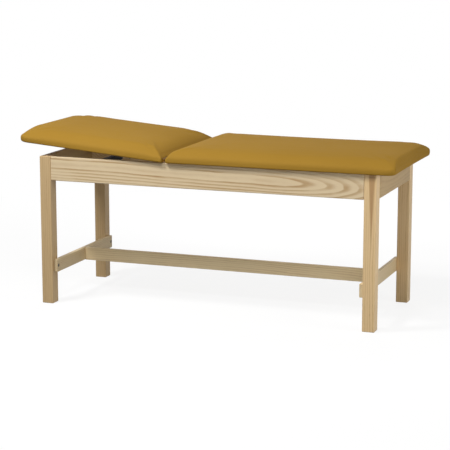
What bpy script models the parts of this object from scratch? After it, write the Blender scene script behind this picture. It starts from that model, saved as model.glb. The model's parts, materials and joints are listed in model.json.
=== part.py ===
"""Wooden examination table with an H-brace and an adjustable backrest.

Metres, +Z up. The origin is on the floor under the middle of the top. +X runs from the head end to
the foot end and -Y is the front. The backrest is raised to its lowest setting.
"""

from math import asin, atan2, cos, degrees, pi, radians, sin, sqrt, tan

import bmesh
import bpy
from mathutils import Matrix, Vector

# Overall sizes
TOP_LENGTH = 1.829
TOP_WIDTH = 0.686
HEAD_LENGTH = 0.743
FRAME_HEIGHT = 0.711
HEAD_OVERHANG = 0.104
FOOT_OVERHANG = 0.083
SIDE_OVERHANG = 0.013
CLEARANCE = 0.0003

# Timber sections
LEG_SIZE = 0.057
RAIL_HEIGHT = 0.114
RAIL_THICKNESS = 0.022
STRETCHER_HEIGHT = 0.063
STRETCHER_THICKNESS = 0.019
STRETCHER_BOTTOM = 0.152
STRETCHER_SETBACK = 0.015
CROSS_RAIL_HEIGHT = 0.070
CROSS_RAIL_OFFSET = 0.012
EASED_EDGE = 0.003
BRACE_THICKNESS = 0.022
BRACE_HEIGHT = 0.070
BRACE_LEG_GAP = 0.0015

# Upholstered top
BOARD_THICKNESS = 0.019
BOARD_INSET = 0.017
BOARD_EASED_EDGE = 0.001
CUSHION_HEIGHT = 0.0757
CUSHION_CROWN = 0.008
CUSHION_TUCK = 0.011
CUSHION_WIDEST = 0.022
CUSHION_SHOULDER = 0.085
CUSHION_END_SHOULDER = 0.030
CUSHION_CORNER = 0.026
CUSHION_CORNER_GROWTH = 0.024
CUSHION_HINGE_CORNER = 0.0075
CUSHION_HINGE_GROWTH = 0.022
CUSHION_CROWN_FLAT = 0.050
CUSHION_WAIST = 0.003
CUSHION_HEM = 0.0035

# Continuous hinge and the backrest's travel
HINGE_END_GAP = 0.043
HINGE_KNUCKLES = 10
HINGE_PIN_RADIUS = 0.002
HINGE_LEAF = 0.0014
HINGE_LEAF_DEPTH = 0.017
HINGE_RISE = 0.002
REST_TILT = radians(5.0)
MAX_TILT = radians(70.0)
VALLEY_SPARE = radians(0.5)

# Support bail and notched racks
BAIL_LEG_GAP = 0.092
BAIL_PIVOT_DROP = 0.016
BAIL_ARM_WIDTH = 0.022
BAIL_ARM_THICKNESS = 0.005
BAIL_BAR_RADIUS = 0.008
BAIL_PIN_RADIUS = 0.005
BAIL_PIN_HEAD = 0.0025
BAIL_PIN_HEAD_RADIUS = 0.0075
BAIL_BAR_END_GAP = 0.0045
BRACKET_PLATE = 0.003
BRACKET_LENGTH = 0.044
BRACKET_FLANGE = 0.030
RACK_SLOPE = radians(10.0)
RACK_HEIGHT = 0.032
RACK_THICKNESS = 0.020
RACK_STOP_HEIGHT = 0.018
RACK_STOP_LENGTH = 0.011
RACK_STOP_SPARE = 0.0015
RACK_ARM_GAP = 0.006
NOTCH_DEPTH = 0.006
NOTCH_RAMP = 0.010
NOTCH_LAND = 0.004
NOTCH_TILTS = [radians(tilt) for tilt in (20, 30, 40, 50, 60, 70)]

# Fasteners, with the shares of a head and a shank that their domes and tips take
BOLT_RADIUS = 0.004
BOLT_HEAD_RADIUS = 0.008
BOLT_HEAD_HEIGHT = 0.005
BOLT_GRIP = 0.038
COUNTERBORE_RADIUS = 0.0095
COUNTERBORE_DEPTH = 0.0055
DOWEL_RADIUS = 0.005
DOWEL_LENGTH = 0.040
DOWEL_DEPTH = 0.012
DOWEL_SPREAD = 0.030
DOWEL_CHAMFER = 0.001
SCREW_RADIUS = 0.0025
SCREW_HEAD_RADIUS = 0.005
SCREW_HEAD_HEIGHT = 0.003
SCREW_GRIP = 0.015
DOME_TOP = 0.72
DOME_RIM = 0.45
TIP_WIDTH = 0.35
TOP_BRACKET_WIDTH = 0.020
TOP_BRACKET_FLANGE = 0.032
TOP_BRACKET_PLATE = 0.0025
TOP_BRACKET_INSET = 0.220

# Places that follow from the sizes
FOOT_END = TOP_LENGTH / 2
HINGE_X = HEAD_LENGTH - TOP_LENGTH / 2
FRAME_FOOT = FOOT_END - FOOT_OVERHANG
FRAME_HEAD = HEAD_OVERHANG - TOP_LENGTH / 2
FRAME_HALF = TOP_WIDTH / 2 - SIDE_OVERHANG
RAIL_INNER = FRAME_HALF - RAIL_THICKNESS
LEG_INNER = FRAME_HALF - LEG_SIZE
RAIL_BOTTOM = FRAME_HEIGHT - RAIL_HEIGHT
STRETCHER_MIDDLE = STRETCHER_BOTTOM + STRETCHER_HEIGHT / 2
TOP_BOTTOM = FRAME_HEIGHT + CLEARANCE
BOARD_TOP = TOP_BOTTOM + BOARD_THICKNESS
HINGE_Z = BOARD_TOP + HINGE_RISE
HINGE_LENGTH = TOP_WIDTH - 2 * HINGE_END_GAP
HINGE_POINT = Vector((HINGE_X, 0, HINGE_Z))
KNUCKLE_BORE = HINGE_PIN_RADIUS + CLEARANCE
KNUCKLE_RADIUS = KNUCKLE_BORE + HINGE_LEAF
HINGE_FACE = KNUCKLE_RADIUS + CLEARANCE
BOARD_HINGE_EDGE = HINGE_FACE + CUSHION_HEM + CLEARANCE
BOARD_HALF_WIDTH = TOP_WIDTH / 2 - BOARD_INSET
BOARD_WALL = BOARD_INSET - CUSHION_TUCK
BOARD_CORNER = CUSHION_CORNER - BOARD_WALL
BOARD_HINGE_CORNER = CUSHION_HINGE_CORNER - BOARD_WALL

# The bail is as long as its pivot's reach from the hinge, so its bar runs straight through the hinge axis.
BAIL_REACH = (HINGE_X - FRAME_HEAD - LEG_SIZE - BAIL_LEG_GAP) / 2
PIVOT_BELOW = HINGE_RISE + BOARD_THICKNESS + BAIL_PIVOT_DROP
PIVOT_ANGLE = asin(PIVOT_BELOW / BAIL_REACH)
BAIL_FLAT_ANGLE = 2 * RACK_SLOPE - PIVOT_ANGLE
BAIL_POINT = Vector((-BAIL_REACH * cos(PIVOT_ANGLE), 0, -PIVOT_BELOW))
BAIL_TURN = -BAIL_FLAT_ANGLE - 2 * REST_TILT
RACK_Y = RAIL_INNER - CLEARANCE - RACK_THICKNESS / 2
ARM_Y = RAIL_INNER - CLEARANCE - RACK_THICKNESS - RACK_ARM_GAP - BRACKET_PLATE - BAIL_ARM_THICKNESS / 2
EAR_Y = ARM_Y + BAIL_ARM_THICKNESS / 2 + CLEARANCE + BRACKET_PLATE / 2
BAR_LENGTH = 2 * (RAIL_INNER - BAIL_BAR_END_GAP)

ROUND_STEPS = 20
FINE_STEPS = 12
CORNER_STEPS = 6
LONG_SIDE_STEPS = 8
SHORT_SIDE_STEPS = 6
TUCK_STEPS = 3
SHOULDER_STEPS = 8
CROWN_STEPS = 3
SHARP_ANGLE = radians(35)

SIDES = {"front": -1, "back": 1}
ENDS = {"head": (FRAME_HEAD, -1), "foot": (FRAME_FOOT, 1)}

for old in list(bpy.data.objects):
    bpy.data.objects.remove(old, do_unlink=True)

PARTS = bpy.data.collections.new("examination_table")
CUTTERS = bpy.data.collections.new("cutters")
bpy.context.scene.collection.children.link(PARTS)
bpy.context.scene.collection.children.link(CUTTERS)


def make_material(name, colour, roughness, metallic=0.0):
    """A plain material with the piece's own colour and gloss."""
    material = bpy.data.materials.new(name)
    material.use_nodes = True
    shader = material.node_tree.nodes["Principled BSDF"]
    shader.inputs["Base Color"].default_value = (*colour, 1.0)
    shader.inputs["Roughness"].default_value = roughness
    shader.inputs["Metallic"].default_value = metallic
    return material


ASH = make_material("natural_hardwood", (0.58, 0.40, 0.21), 0.45)
PLYWOOD = make_material("plywood", (0.55, 0.40, 0.24), 0.7)
VINYL = make_material("gold_vinyl", (0.41, 0.24, 0.045), 0.5)
BLACK_STEEL = make_material("black_steel", (0.03, 0.03, 0.035), 0.4, 0.6)
ZINC_STEEL = make_material("zinc_steel", (0.55, 0.56, 0.58), 0.35, 1.0)


def add_object(name, mesh, material, parent=None):
    """One named sub-part in the parts collection."""
    piece = bpy.data.objects.new(name, mesh)
    mesh.materials.clear()
    mesh.materials.append(material)
    PARTS.objects.link(piece)
    piece.parent = parent
    return piece


def shade_round(piece):
    """Smooth shading that keeps the sharp rims."""
    piece.data.shade_smooth()
    piece.data.set_sharp_from_angle(angle=SHARP_ANGLE)
    return piece


def add_cutter(name, mesh, parent=None):
    """A hidden solid that is only taken away from others."""
    cutter = bpy.data.objects.new(name, mesh)
    cutter.hide_render = True
    cutter.display_type = "WIRE"
    CUTTERS.objects.link(cutter)
    cutter.parent = parent
    return cutter


def box_mesh(name, size, centre=(0, 0, 0)):
    """A box of the given size about a centre."""
    mesh = bpy.data.meshes.new(name)
    solid = bmesh.new()
    bmesh.ops.create_cube(solid, size=1.0)
    bmesh.ops.scale(solid, vec=size, verts=solid.verts)
    bmesh.ops.translate(solid, vec=centre, verts=solid.verts)
    solid.to_mesh(mesh)
    solid.free()
    return mesh


def rod_mesh(name, radius, length, turn, centre=(0, 0, 0), steps=ROUND_STEPS):
    """A round rod whose own Z axis is turned by a matrix, about a centre."""
    mesh = bpy.data.meshes.new(name)
    solid = bmesh.new()
    bmesh.ops.create_cone(
        solid, cap_ends=True, segments=steps, radius1=radius, radius2=radius, depth=length
    )
    solid.to_mesh(mesh)
    solid.free()
    mesh.transform(Matrix.Translation(centre) @ turn.to_4x4())
    return mesh


def outline_mesh(name, loops, depth, turn):
    """A flat outline, with any holes, drawn out to a depth and turned from its drawing plane."""
    curve = bpy.data.curves.new(name, "CURVE")
    curve.dimensions = "2D"
    curve.fill_mode = "BOTH"
    curve.extrude = depth / 2
    for loop in loops:
        spline = curve.splines.new("POLY")
        spline.points.add(len(loop) - 1)
        for point, place in zip(spline.points, loop):
            point.co = (place[0], place[1], 0, 1)
        spline.use_cyclic_u = True
    drawing = bpy.data.objects.new(name, curve)
    PARTS.objects.link(drawing)
    graph = bpy.context.evaluated_depsgraph_get()
    mesh = bpy.data.meshes.new_from_object(drawing.evaluated_get(graph))
    bpy.data.objects.remove(drawing, do_unlink=True)
    solid = bmesh.new()
    solid.from_mesh(mesh)
    bmesh.ops.remove_doubles(solid, verts=solid.verts, dist=0.00001)
    bmesh.ops.recalc_face_normals(solid, faces=solid.faces)
    solid.to_mesh(mesh)
    solid.free()
    mesh.transform(turn.to_4x4())
    return mesh


UPRIGHT_Y = Matrix.Rotation(pi / 2, 3, "X")
ALONG_X = Matrix(((0, 0, 1), (1, 0, 0), (0, 1, 0)))
ALONG_Z = Matrix.Identity(3)


def arc(centre, radius, start, end, steps):
    """Points along a round stretch, both ends included."""
    turns = [start + (end - start) * step / steps for step in range(steps + 1)]
    return [(centre[0] + radius * cos(turn), centre[1] + radius * sin(turn)) for turn in turns]


def circle(centre, radius, steps=ROUND_STEPS):
    """A full round outline."""
    return arc(centre, radius, 0, 2 * pi, steps)[:-1]


def ease(piece, width=EASED_EDGE, steps=2):
    """Rounded arrises all round a timber."""
    bevel = piece.modifiers.new("eased_edges", "BEVEL")
    bevel.width = width
    bevel.segments = steps
    bevel.limit_method = "ANGLE"
    return piece


def cut(piece, cutter):
    """Take a cutter's solid away from a piece."""
    modifier = piece.modifiers.new(cutter.name, "BOOLEAN")
    modifier.operation = "DIFFERENCE"
    modifier.object = cutter
    return piece


def timber(name, low, high):
    """A planed hardwood timber between two corners, with eased arrises."""
    size = [b - a for a, b in zip(low, high)]
    centre = [(a + b) / 2 for a, b in zip(low, high)]
    piece = add_object(name, box_mesh(name, size), ASH)
    piece.location = centre
    return ease(piece)


def turned(name, profile, place, direction, material, steps=FINE_STEPS, parent=None):
    """A turned solid from a profile of radius and height, top to bottom, with its axis along a direction."""
    mesh = bpy.data.meshes.new(name)
    solid = bmesh.new()
    points = [solid.verts.new((radius, 0, height)) for radius, height in profile]
    for upper, lower in zip(points, points[1:]):
        solid.edges.new((upper, lower))
    solid.to_mesh(mesh)
    solid.free()
    piece = add_object(name, mesh, material, parent)
    screw = piece.modifiers.new("turn", "SCREW")
    screw.axis = "Z"
    screw.steps = steps
    screw.render_steps = steps
    screw.use_merge_vertices = True
    screw.merge_threshold = 0.00001
    screw.use_smooth_shade = True
    piece.location = place
    piece.rotation_euler = Vector(direction).to_track_quat("Z", "Y").to_euler()
    return piece


def headed_profile(head_radius, head_height, shank_radius, shank_length):
    """A bolt's profile: domed head above its seat at height zero, shank below, tapered tip."""
    return [
        (0, head_height),
        (head_radius * DOME_TOP, head_height),
        (head_radius, head_height * DOME_RIM),
        (head_radius, 0),
        (shank_radius, 0),
        (shank_radius, -shank_length + shank_radius),
        (shank_radius * TIP_WIDTH, -shank_length),
        (0, -shank_length),
    ]


def bored(piece, name, seat, direction, radius, depth, recess_radius=0.0, recess=0.0):
    """A bolt hole that runs in from a seat against a direction, with a recess for the head above the seat."""
    away = Vector(direction).normalized()
    turn = away.to_track_quat("Z", "Y").to_matrix()
    seat = Vector(seat)
    middle = seat - away * (depth - CLEARANCE) / 2
    hole = rod_mesh(name, radius, depth + CLEARANCE, turn, middle, FINE_STEPS)
    cut(piece, add_cutter(name, hole))
    if recess:
        centre = seat + away * (recess / 2 - CLEARANCE)
        well = rod_mesh(name + "_recess", recess_radius, recess, turn, centre)
        cut(piece, add_cutter(name + "_recess", well))


def make_legs():
    """Four square legs with eased arrises."""
    legs = {}
    for end, (frame_end, outward) in ENDS.items():
        for side, across in SIDES.items():
            name = f"{end}_{side}_leg"
            x_faces = sorted((frame_end, frame_end - outward * LEG_SIZE))
            y_faces = sorted((across * FRAME_HALF, across * LEG_INNER))
            leg = timber(name, (x_faces[0], y_faces[0], 0), (x_faces[1], y_faces[1], FRAME_HEIGHT))
            legs[end, side] = leg
    return legs


def make_rails():
    """Side and end rails, flush with the outer faces of the legs."""
    for side, across in SIDES.items():
        faces = sorted((across * FRAME_HALF, across * RAIL_INNER))
        start = FRAME_HEAD + LEG_SIZE + CLEARANCE
        stop = FRAME_FOOT - LEG_SIZE - CLEARANCE
        SIDE_RAILS[side] = timber(
            f"{side}_side_rail", (start, faces[0], RAIL_BOTTOM), (stop, faces[1], FRAME_HEIGHT)
        )
    for end, (frame_end, outward) in ENDS.items():
        faces = sorted((frame_end, frame_end - outward * RAIL_THICKNESS))
        reach = LEG_INNER - CLEARANCE
        timber(f"{end}_end_rail", (faces[0], -reach, RAIL_BOTTOM), (faces[1], reach, FRAME_HEIGHT))


def make_cross_rail():
    """Rail across the frame that carries the main board beside the hinge."""
    reach = RAIL_INNER - CLEARANCE
    start = HINGE_X + CROSS_RAIL_OFFSET
    low = (start, -reach, FRAME_HEIGHT - CROSS_RAIL_HEIGHT)
    timber("hinge_cross_rail", low, (start + RAIL_THICKNESS, reach, FRAME_HEIGHT))


def make_stretchers(legs):
    """The H-brace: two end stretchers bolted on the legs' inner faces and one between them."""
    low = STRETCHER_BOTTOM
    high = STRETCHER_BOTTOM + STRETCHER_HEIGHT
    reach = FRAME_HALF - STRETCHER_SETBACK
    inner_faces = {}
    stretchers = {}
    for end, (frame_end, outward) in ENDS.items():
        near = frame_end - outward * (LEG_SIZE + CLEARANCE)
        far = near - outward * STRETCHER_THICKNESS
        faces = sorted((near, far))
        stretcher = timber(f"{end}_stretcher", (faces[0], -reach, low), (faces[1], reach, high))
        inner_faces[end] = far
        stretchers[end] = stretcher
        for side, across in SIDES.items():
            seat = (far + outward * COUNTERBORE_DEPTH, across * (FRAME_HALF - LEG_SIZE / 2), STRETCHER_MIDDLE)
            make_bolt(f"{end}_{side}_stretcher_bolt", seat, (-outward, 0, 0), stretcher, legs[end, side])
    half = STRETCHER_THICKNESS / 2
    start = inner_faces["head"] + CLEARANCE
    stop = inner_faces["foot"] - CLEARANCE
    middle = timber("centre_stretcher", (start, -half, low), (stop, half, high))
    for end, (_, outward) in ENDS.items():
        for place, level in (("lower", -1), ("upper", 1)):
            seat_x = inner_faces[end] + outward * DOWEL_DEPTH
            seat = (seat_x, 0, STRETCHER_MIDDLE + level * DOWEL_SPREAD / 2)
            make_dowel(f"{end}_{place}_dowel", seat, (outward, 0, 0), stretchers[end], middle)


def make_dowel(name, seat, direction, first, second):
    """A hidden dowel from a blind hole in one piece into the end of another, with chamfered ends."""
    profile = [
        (0, 0),
        (DOWEL_RADIUS - DOWEL_CHAMFER, 0),
        (DOWEL_RADIUS, -DOWEL_CHAMFER),
        (DOWEL_RADIUS, DOWEL_CHAMFER - DOWEL_LENGTH),
        (DOWEL_RADIUS - DOWEL_CHAMFER, -DOWEL_LENGTH),
        (0, -DOWEL_LENGTH),
    ]
    turned(name, profile, seat, direction, ASH)
    for piece in (first, second):
        hole = f"{name}_bore_{piece.name}"
        bored(piece, hole, seat, direction, DOWEL_RADIUS + CLEARANCE, DOWEL_LENGTH + CLEARANCE)


def make_bolt(name, seat, direction, sunk, gripped):
    """A lag bolt with its head sunk in one piece, which runs on into the piece behind it."""
    length = STRETCHER_THICKNESS - COUNTERBORE_DEPTH + BOLT_GRIP
    radius = BOLT_RADIUS + CLEARANCE
    recess = COUNTERBORE_DEPTH + 2 * CLEARANCE
    profile = headed_profile(BOLT_HEAD_RADIUS, BOLT_HEAD_HEIGHT, BOLT_RADIUS, length - 2 * CLEARANCE)
    place = Vector(seat) + Vector(direction) * CLEARANCE
    turned(name, profile, place, direction, BLACK_STEEL)
    bored(sunk, f"{name}_bore_{sunk.name}", seat, direction, radius, length, COUNTERBORE_RADIUS, recess)
    bored(gripped, f"{name}_bore_{gripped.name}", seat, direction, radius, length)


def make_corner_braces(legs):
    """A block across each inner corner, with a bolt that draws the leg against the rails."""
    diagonal = sqrt(2)
    leg_reach = (LEG_SIZE - RAIL_THICKNESS) * diagonal
    outer = leg_reach + BRACE_LEG_GAP
    inner = outer + BRACE_THICKNESS
    middle_z = FRAME_HEIGHT - RAIL_HEIGHT / 2
    for end, (frame_end, outward) in ENDS.items():
        for side, across in SIDES.items():
            name = f"{end}_{side}_corner_brace"
            corner = (frame_end - outward * RAIL_THICKNESS, across * RAIL_INNER)
            start = (corner[0] - outward * CLEARANCE, corner[1] - across * CLEARANCE)
            near = outer * diagonal - CLEARANCE
            far = inner * diagonal - CLEARANCE
            points = [
                (start[0] - outward * near, start[1]),
                (start[0] - outward * far, start[1]),
                (start[0], start[1] - across * far),
                (start[0], start[1] - across * near),
            ]
            brace = add_object(name, outline_mesh(name, [points], BRACE_HEIGHT, ALONG_Z), ASH)
            brace.location.z = middle_z
            inward = Vector((-outward, -across, 0)).normalized()
            seat = Vector((corner[0], corner[1], middle_z)) + inward * inner
            length = BRACE_THICKNESS + BRACE_LEG_GAP + BOLT_GRIP
            profile = headed_profile(BOLT_HEAD_RADIUS, BOLT_HEAD_HEIGHT, BOLT_RADIUS, length)
            place = seat + inward * CLEARANCE
            turned(f"{end}_{side}_corner_bolt", profile, place, inward, ZINC_STEEL)
            radius = BOLT_RADIUS + CLEARANCE
            for piece in (brace, legs[end, side]):
                bored(piece, f"{piece.name}_corner_bore", place, inward, radius, length + CLEARANCE)


def make_boards(backrest):
    """Plywood boards that carry the upholstery, one fixed and one on the hinge."""
    middle_z = TOP_BOTTOM + BOARD_THICKNESS / 2
    main = add_object("main_board", board_mesh("main_board", FOOT_END - HINGE_X), PLYWOOD)
    main.location = (HINGE_X, 0, middle_z)
    mesh = board_mesh("head_board", HEAD_LENGTH)
    mesh.transform(Matrix.Rotation(pi, 4, "Z"))
    head = add_object("head_board", mesh, PLYWOOD, backrest)
    head.location = (0, 0, middle_z - HINGE_Z)
    ease(main, BOARD_EASED_EDGE)
    ease(head, BOARD_EASED_EDGE)


def board_mesh(name, length):
    """A board along +X from the hinge axis, with corners that follow its cushion's."""
    stop = length - BOARD_INSET
    half = BOARD_HALF_WIDTH
    outline = []
    for x, y, radius, turn in outline_corners(BOARD_HINGE_EDGE, stop, half, BOARD_HINGE_CORNER, BOARD_CORNER):
        outline += arc((x, y), radius, turn, turn + pi / 2, CORNER_STEPS)
    return outline_mesh(name, [outline], BOARD_THICKNESS, ALONG_Z)


def outline_corners(start, stop, half, start_corner, stop_corner):
    """The corners of a rounded rectangle: each arc's centre, radius and first angle, in turn."""
    return [
        (stop - stop_corner, half - stop_corner, stop_corner, 0.0),
        (start + start_corner, half - start_corner, start_corner, pi / 2),
        (start + start_corner, start_corner - half, start_corner, pi),
        (stop - stop_corner, stop_corner - half, stop_corner, 3 * pi / 2),
    ]


def cushion_outline(start, stop, half, start_corner, stop_corner, waist):
    """A rounded rectangle whose sides, all but the hinge end's, draw in between its corners."""
    points = []
    corners = outline_corners(start, stop, half, start_corner, stop_corner)
    side_steps = [LONG_SIDE_STEPS, SHORT_SIDE_STEPS] * 2
    side_waists = [waist, 0.0, waist, waist]
    for index, (x, y, radius, turn) in enumerate(corners):
        points += arc((x, y), radius, turn, turn + pi / 2, CORNER_STEPS)
        next_x, next_y, next_radius, next_turn = corners[(index + 1) % len(corners)]
        here = points[-1]
        there = (next_x + next_radius * cos(next_turn), next_y + next_radius * sin(next_turn))
        inward = (-cos(next_turn), -sin(next_turn))
        for step in range(1, side_steps[index]):
            share = step / side_steps[index]
            sag = side_waists[index] * 4 * share * (1 - share)
            points.append(
                (
                    here[0] + (there[0] - here[0]) * share + inward[0] * sag,
                    here[1] + (there[1] - here[1]) * share + inward[1] * sag,
                )
            )
    return points


def cushion_sections():
    """A cushion's rounded side: each level's inset from the widest line at the sides and at the outer end, its
    height, and how far round the shoulder it is.
    """
    shoulder_height = CUSHION_HEIGHT - CUSHION_CROWN
    sections = []
    for step in range(-TUCK_STEPS, 0):
        angle = pi / 2 * step / TUCK_STEPS
        inset = CUSHION_TUCK * (1 - cos(angle))
        sections.append((inset, inset, CUSHION_WIDEST * (1 + sin(angle)), 0.0))
    for step in range(SHOULDER_STEPS + 1):
        angle = pi / 2 * step / SHOULDER_STEPS
        turn = 1 - cos(angle)
        height = CUSHION_WIDEST + (shoulder_height - CUSHION_WIDEST) * sin(angle)
        sections.append((CUSHION_SHOULDER * turn, CUSHION_END_SHOULDER * turn, height, turn))
    reach = TOP_WIDTH / 2 - CUSHION_SHOULDER - CUSHION_CROWN_FLAT
    for step in range(1, CROWN_STEPS + 1):
        share = step / CROWN_STEPS
        inset = reach * share
        height = shoulder_height + CUSHION_CROWN * (1 - (1 - share) ** 2)
        sections.append((CUSHION_SHOULDER + inset, CUSHION_END_SHOULDER + inset, height, 1.0))
    return sections


def cushion_mesh(name, length):
    """A crowned cushion along +X from the hinge axis, with a V end there and a recess for its board."""
    half = TOP_WIDTH / 2
    axis_height = HINGE_Z - TOP_BOTTOM
    valley = tan(MAX_TILT / 2 + VALLEY_SPARE)
    loops = []
    for inset, end_inset, height, turn in cushion_sections():
        lean = max(0.0, height - axis_height) * valley
        roll = inset if height > CUSHION_WIDEST else 0.0
        start = HINGE_FACE + max(lean, roll)
        stop = length - end_inset
        hinge_corner = CUSHION_HINGE_CORNER + CUSHION_HINGE_GROWTH * turn
        corner = CUSHION_CORNER + CUSHION_CORNER_GROWTH * turn
        waist = CUSHION_WAIST * (1 - turn)
        outline = cushion_outline(start, stop, half - inset, hinge_corner, corner, waist)
        loops.append([(x, y, height) for x, y in outline])
    wall = BOARD_INSET - CLEARANCE
    hinge_corner = BOARD_HINGE_CORNER + CLEARANCE
    corner = BOARD_CORNER + CLEARANCE
    start = BOARD_HINGE_EDGE - CLEARANCE
    recess = cushion_outline(start, length - wall, half - wall, hinge_corner, corner, 0.0)
    depth = BOARD_THICKNESS + CLEARANCE
    loops.insert(0, [(x, y, 0.0) for x, y in recess])
    loops.insert(0, [(x, y, depth) for x, y in recess])
    solid = bmesh.new()
    rings = [[solid.verts.new(point) for point in loop] for loop in loops]
    for lower, upper in zip(rings, rings[1:]):
        for index, corner in enumerate(lower):
            after = (index + 1) % len(lower)
            solid.faces.new((corner, lower[after], upper[after], upper[index]))
    solid.faces.new(list(reversed(rings[0])))
    solid.faces.new(rings[-1])
    bmesh.ops.recalc_face_normals(solid, faces=solid.faces)
    mesh = bpy.data.meshes.new(name)
    solid.to_mesh(mesh)
    solid.free()
    return mesh


def make_cushions(backrest):
    """Vinyl-covered foam over each board, wrapped down round its edges."""
    main = add_object("main_cushion", cushion_mesh("main_cushion", FOOT_END - HINGE_X), VINYL)
    main.location = (HINGE_X, 0, TOP_BOTTOM)
    mesh = cushion_mesh("head_cushion", HEAD_LENGTH)
    mesh.transform(Matrix.Rotation(pi, 4, "Z"))
    head = add_object("head_cushion", mesh, VINYL, backrest)
    head.location = (0, 0, TOP_BOTTOM - HINGE_Z)
    shade_round(main)
    shade_round(head)


def leaf_outline(outward):
    """A hinge leaf's section: a flat plate that rolls over into a knuckle round the pin."""
    plate = KNUCKLE_RADIUS - HINGE_LEAF
    joins = -sqrt(KNUCKLE_RADIUS**2 - plate**2)
    roll = arc((0, 0), KNUCKLE_RADIUS, 0, 2 * pi + atan2(joins, plate), ROUND_STEPS)
    points = [(KNUCKLE_RADIUS, -HINGE_LEAF_DEPTH)] + roll + [(plate, -HINGE_LEAF_DEPTH)]
    return [(outward * x, z) for x, z in points]


def make_hinge(backrest):
    """Continuous hinge between the boards: two leaves whose knuckles take turns along one pin."""
    bore = circle((0, 0), KNUCKLE_BORE, ROUND_STEPS)
    pitch = HINGE_LENGTH / HINGE_KNUCKLES
    for name, outward, parent, first in (
        ("main_hinge_leaf", 1, None, 0),
        ("head_hinge_leaf", -1, backrest, 1),
    ):
        mesh = outline_mesh(name, [leaf_outline(outward), bore], HINGE_LENGTH, UPRIGHT_Y)
        leaf = add_object(name, mesh, ZINC_STEEL, parent)
        if parent is None:
            leaf.location = HINGE_POINT
        for index in range(1 - first, HINGE_KNUCKLES, 2):
            centre = (0, (index + 0.5) * pitch - HINGE_LENGTH / 2, 0)
            reach = 2 * (KNUCKLE_RADIUS + CLEARANCE)
            size = (2 * reach, pitch + 2 * CLEARANCE, reach)
            slot_name = f"{name}_slot_{index}"
            slot = add_cutter(slot_name, box_mesh(slot_name, size, centre), parent)
            slot.location = leaf.location
            cut(leaf, slot)
    pin = rod_mesh("hinge_pin", HINGE_PIN_RADIUS, HINGE_LENGTH, UPRIGHT_Y, steps=ROUND_STEPS)
    rod = shade_round(add_object("hinge_pin", pin, ZINC_STEEL))
    rod.location = HINGE_POINT


def make_top_brackets():
    """Steel angles that hold the main board down on the side rails."""
    inner = RAIL_INNER - CLEARANCE
    high = FRAME_HEIGHT
    first = HINGE_X + TOP_BRACKET_INSET
    last = FRAME_FOOT - LEG_SIZE - TOP_BRACKET_INSET
    for side, across in SIDES.items():
        for place, x in (("hinge", first), ("foot", last)):
            name = f"{side}_{place}_top_bracket"
            points = [
                (0, 0),
                (0, -TOP_BRACKET_FLANGE),
                (-TOP_BRACKET_PLATE, -TOP_BRACKET_FLANGE),
                (-TOP_BRACKET_PLATE, -TOP_BRACKET_PLATE),
                (-TOP_BRACKET_FLANGE, -TOP_BRACKET_PLATE),
                (-TOP_BRACKET_FLANGE, 0),
            ]
            outline = [(across * y, z) for y, z in points]
            bracket = add_object(name, outline_mesh(name, [outline], TOP_BRACKET_WIDTH, ALONG_X), ZINC_STEEL)
            bracket.location = (x, across * inner, high)


def rack_point(along, above):
    """A rack's drawing place: along the bar's line from the hinge axis to the head, and above that line."""
    x = along * cos(RACK_SLOPE) + above * sin(RACK_SLOPE)
    z = above * cos(RACK_SLOPE) - along * sin(RACK_SLOPE)
    return (-x, z)


def bar_travel(tilt):
    """How far the bail's bar stands from the hinge axis along its line, at a tilt of the backrest."""
    return 2 * BAIL_REACH * cos(tilt + RACK_SLOPE - PIVOT_ANGLE)


def rack_outline():
    """A rack's side: a stop at the outer end, a ledge, then saw-tooth notches up to the inner end."""
    ledge = -BAIL_BAR_RADIUS - CLEARANCE
    floor = ledge - NOTCH_DEPTH
    stop = bar_travel(0.0) + BAIL_BAR_RADIUS + RACK_STOP_SPARE
    outer = stop + RACK_STOP_LENGTH
    bottom = ledge - RACK_HEIGHT
    stop_top = ledge + RACK_STOP_HEIGHT
    points = [(outer, bottom), (outer, stop_top), (stop, stop_top), (stop, ledge)]
    for tilt in NOTCH_TILTS:
        seat = bar_travel(tilt)
        face = seat + BAIL_BAR_RADIUS + CLEARANCE
        land = seat - NOTCH_LAND
        points += [(face, ledge), (face, floor), (land, floor), (land - NOTCH_RAMP, ledge)]
    inner = bar_travel(NOTCH_TILTS[-1]) - NOTCH_LAND - 2 * NOTCH_RAMP
    points += [(inner, ledge), (inner, bottom)]
    return [rack_point(along, above) for along, above in points]


def make_racks():
    """Notched hardwood racks on the inner faces of the side rails, each held by two screws."""
    screw_level = -BAIL_BAR_RADIUS - NOTCH_DEPTH - (RACK_HEIGHT - NOTCH_DEPTH) / 2
    screw_places = [bar_travel(0.0) - RACK_HEIGHT, bar_travel(NOTCH_TILTS[-1]) + RACK_HEIGHT]
    for side, across in SIDES.items():
        name = f"{side}_rack"
        rack = add_object(name, outline_mesh(name, [rack_outline()], RACK_THICKNESS, UPRIGHT_Y), ASH)
        rack.location = (HINGE_X, across * RACK_Y, HINGE_Z)
        face_y = across * (RACK_Y - RACK_THICKNESS / 2)
        inward = (0, -across, 0)
        length = RACK_THICKNESS + CLEARANCE + SCREW_GRIP
        profile = headed_profile(SCREW_HEAD_RADIUS, SCREW_HEAD_HEIGHT, SCREW_RADIUS, length)
        for place, along in zip(("outer", "inner"), screw_places):
            x, z = rack_point(along, screw_level)
            seat = (HINGE_X + x, face_y - across * CLEARANCE, HINGE_Z + z)
            screw_name = f"{side}_rack_{place}_screw"
            turned(screw_name, profile, seat, inward, BLACK_STEEL)
            for piece in (rack, SIDE_RAILS[side]):
                hole = f"{screw_name}_bore_{piece.name}"
                bored(piece, hole, seat, inward, SCREW_RADIUS + CLEARANCE, length + CLEARANCE)


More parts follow.
